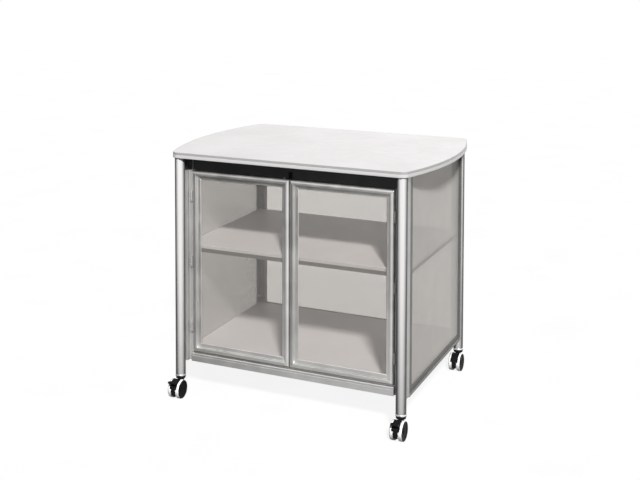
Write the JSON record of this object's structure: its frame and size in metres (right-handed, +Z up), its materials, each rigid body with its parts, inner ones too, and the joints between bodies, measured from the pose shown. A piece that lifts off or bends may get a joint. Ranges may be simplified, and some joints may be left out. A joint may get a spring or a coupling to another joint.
{
  "type": "mobile printer stand",
  "caption": "Bow-ended printer stand on casters, with round legs, a translucent-sided cabinet, a middle shelf and a pair of front doors.",
  "frame": {"origin": "on the floor, under the middle of the overall bounding box", "axes": "+Z up, -Y out of the front through the doors, +X to the right of a person facing the doors"},
  "size_m": [0.8826, 0.688, 0.7874],
  "materials": {
    "laminate": "matte laminate",
    "edge_band": "satin",
    "leg_silver": "satin",
    "frame_grey": "satin",
    "frame_aluminium": "satin",
    "dark_steel": "satin",
    "black_steel": "matte",
    "bright_steel": "plated",
    "panel": "smoky translucent",
    "black_plastic": "satin",
    "tread": "matte"
  },
  "bodies": {
    "frame": {"worktop": "laminate", "worktop_edge_band": "edge_band", "leg_front_left": "leg_silver", "leg_front_right": "leg_silver", "leg_rear_left": "leg_silver", "leg_rear_right": "leg_silver", "caster_sockets": "black_plastic", "caster_stems": "bright_steel", "front_post_left": "frame_grey", "front_post_right": "frame_grey", "front_apron": "black_steel", "front_bottom_rail": "frame_aluminium", "side_frame_left": "dark_steel", "side_frame_right": "dark_steel", "side_panel_left": "panel", "side_panel_right": "panel", "back_frame": "dark_steel", "back_panel": "panel", "bottom_shelf": "laminate", "middle_shelf": "laminate", "shelf_frame": "dark_steel", "post_hinge_leaves": "bright_steel", "hinge_pins": "bright_steel", "latch_housing": "black_plastic"},
    "left_door": {"left_door_frame": "frame_aluminium", "left_door_panel": "panel", "left_door_leaves": "bright_steel", "left_door_strike": "bright_steel"},
    "right_door": {"right_door_frame": "frame_aluminium", "right_door_panel": "panel", "right_door_leaves": "bright_steel", "right_door_strike": "bright_steel"},
    "left_plunger": {"left_plunger": "bright_steel"},
    "right_plunger": {"right_plunger": "bright_steel"},
    "front_left_caster": {"front_left_body": "black_plastic", "front_left_axle": "bright_steel"},
    "front_left_outer_wheel": {"front_left_outer_hub": "black_plastic", "front_left_outer_tread": "tread"},
    "front_left_inner_wheel": {"front_left_inner_hub": "black_plastic", "front_left_inner_tread": "tread"},
    "front_left_brake": {"front_left_brake": "black_plastic"},
    "front_right_caster": {"front_right_body": "black_plastic", "front_right_axle": "bright_steel"},
    "front_right_outer_wheel": {"front_right_outer_hub": "black_plastic", "front_right_outer_tread": "tread"},
    "front_right_inner_wheel": {"front_right_inner_hub": "black_plastic", "front_right_inner_tread": "tread"},
    "front_right_brake": {"front_right_brake": "black_plastic"},
    "rear_left_caster": {"rear_left_body": "black_plastic", "rear_left_axle": "bright_steel"},
    "rear_left_outer_wheel": {"rear_left_outer_hub": "black_plastic", "rear_left_outer_tread": "tread"},
    "rear_left_inner_wheel": {"rear_left_inner_hub": "black_plastic", "rear_left_inner_tread": "tread"},
    "rear_right_caster": {"rear_right_body": "black_plastic", "rear_right_axle": "bright_steel"},
    "rear_right_outer_wheel": {"rear_right_outer_hub": "black_plastic", "rear_right_outer_tread": "tread"},
    "rear_right_inner_wheel": {"rear_right_inner_hub": "black_plastic", "rear_right_inner_tread": "tread"}
  },
  "joints": [
    {"name": "left_door_hinge", "type": "hinge", "parent": "frame", "child": "left_door", "pos_m": [-0.3425, -0.25757, 0.432], "axis": [0, 0, -1], "range_deg": [0, 100]},
    {"name": "right_door_hinge", "type": "hinge", "parent": "frame", "child": "right_door", "pos_m": [0.3425, -0.25757, 0.432], "axis": [0, 0, 1], "range_deg": [0, 100]},
    {"name": "left_plunger_slide", "type": "slide", "parent": "frame", "child": "left_plunger", "axis": [0, 1, 0], "range_m": [0, 0.004]},
    {"name": "right_plunger_slide", "type": "slide", "parent": "frame", "child": "right_plunger", "axis": [0, 1, 0], "range_m": [0, 0.004]},
    {"name": "front_left_swivel", "type": "hinge", "parent": "frame", "child": "front_left_caster", "pos_m": [-0.37, -0.28195, 0.06], "axis": [0, 0, 1], "continuous": true},
    {"name": "front_left_outer_spin", "type": "hinge", "parent": "front_left_caster", "child": "front_left_outer_wheel", "pos_m": [-0.37, -0.30295, 0.029], "axis": [1, 0, 0], "continuous": true},
    {"name": "front_left_inner_spin", "type": "hinge", "parent": "front_left_caster", "child": "front_left_inner_wheel", "pos_m": [-0.37, -0.30295, 0.029], "axis": [1, 0, 0], "continuous": true},
    {"name": "front_left_brake_pedal", "type": "hinge", "parent": "front_left_caster", "child": "front_left_brake", "pos_m": [-0.37, -0.31495, 0.046], "axis": [1, 0, 0], "range_deg": [0, 20]},
    {"name": "front_right_swivel", "type": "hinge", "parent": "frame", "child": "front_right_caster", "pos_m": [0.37, -0.28195, 0.06], "axis": [0, 0, 1], "continuous": true},
    {"name": "front_right_outer_spin", "type": "hinge", "parent": "front_right_caster", "child": "front_right_outer_wheel", "pos_m": [0.37, -0.30295, 0.029], "axis": [1, 0, 0], "continuous": true},
    {"name": "front_right_inner_spin", "type": "hinge", "parent": "front_right_caster", "child": "front_right_inner_wheel", "pos_m": [0.37, -0.30295, 0.029], "axis": [1, 0, 0], "continuous": true},
    {"name": "front_right_brake_pedal", "type": "hinge", "parent": "front_right_caster", "child": "front_right_brake", "pos_m": [0.37, -0.31495, 0.046], "axis": [1, 0, 0], "range_deg": [0, 20]},
    {"name": "rear_left_swivel", "type": "hinge", "parent": "frame", "child": "rear_left_caster", "pos_m": [-0.37, 0.32205, 0.06], "axis": [0, 0, 1], "continuous": true},
    {"name": "rear_left_outer_spin", "type": "hinge", "parent": "rear_left_caster", "child": "rear_left_outer_wheel", "pos_m": [-0.37, 0.30105, 0.029], "axis": [1, 0, 0], "continuous": true},
    {"name": "rear_left_inner_spin", "type": "hinge", "parent": "rear_left_caster", "child": "rear_left_inner_wheel", "pos_m": [-0.37, 0.30105, 0.029], "axis": [1, 0, 0], "continuous": true},
    {"name": "rear_right_swivel", "type": "hinge", "parent": "frame", "child": "rear_right_caster", "pos_m": [0.37, 0.32205, 0.06], "axis": [0, 0, 1], "continuous": true},
    {"name": "rear_right_outer_spin", "type": "hinge", "parent": "rear_right_caster", "child": "rear_right_outer_wheel", "pos_m": [0.37, 0.30105, 0.029], "axis": [1, 0, 0], "continuous": true},
    {"name": "rear_right_inner_spin", "type": "hinge", "parent": "rear_right_caster", "child": "rear_right_inner_wheel", "pos_m": [0.37, 0.30105, 0.029], "axis": [1, 0, 0], "continuous": true}
  ]
}
